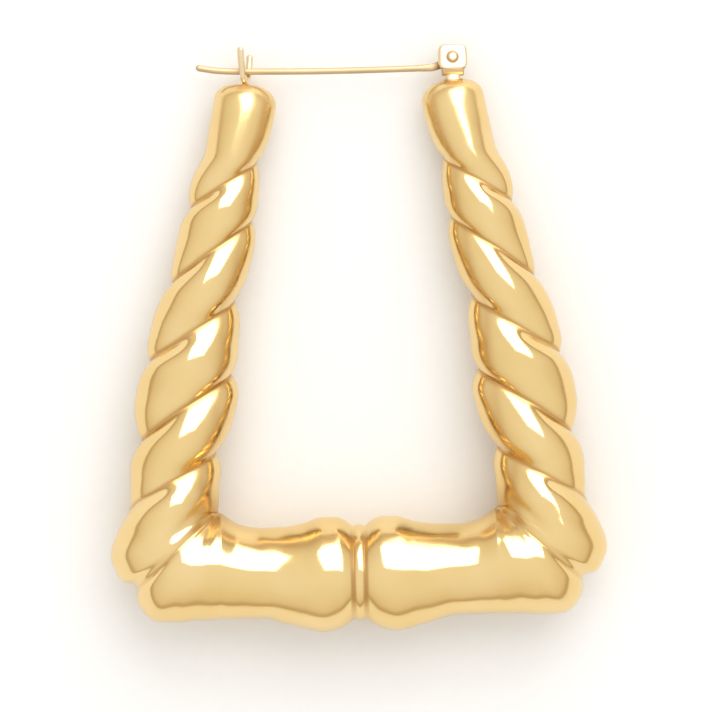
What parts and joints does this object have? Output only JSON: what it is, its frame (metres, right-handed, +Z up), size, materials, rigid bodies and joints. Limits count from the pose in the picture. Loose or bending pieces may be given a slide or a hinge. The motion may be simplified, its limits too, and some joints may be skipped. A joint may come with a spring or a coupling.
{
  "type": "bamboo earring",
  "caption": "Large trapezoid bamboo hoop earring with twisted legs, a hinged ear wire and a forked catch that the wire lies in.",
  "frame": {"origin": "on the surface that the earring lies on, in the middle of its footprint", "axes": "+Y towards the ear wire and away from the bottom bar, +X towards the hinge, +Z up from the surface, out of the hoop's flat side"},
  "size_m": [0.0544, 0.0644, 0.0128],
  "materials": {
    "gold": "polished"
  },
  "bodies": {
    "hoop": {"hoop_frame": "gold"},
    "pin": {"ear_pin": "gold"}
  },
  "joints": [
    {"name": "pin_hinge", "type": "hinge", "parent": "hoop", "child": "pin", "pos_m": [0.0115, 0.0306, 0.00315], "axis": [0, 0.0588, 0.9983], "range_deg": [-100, 0]}
  ]
}
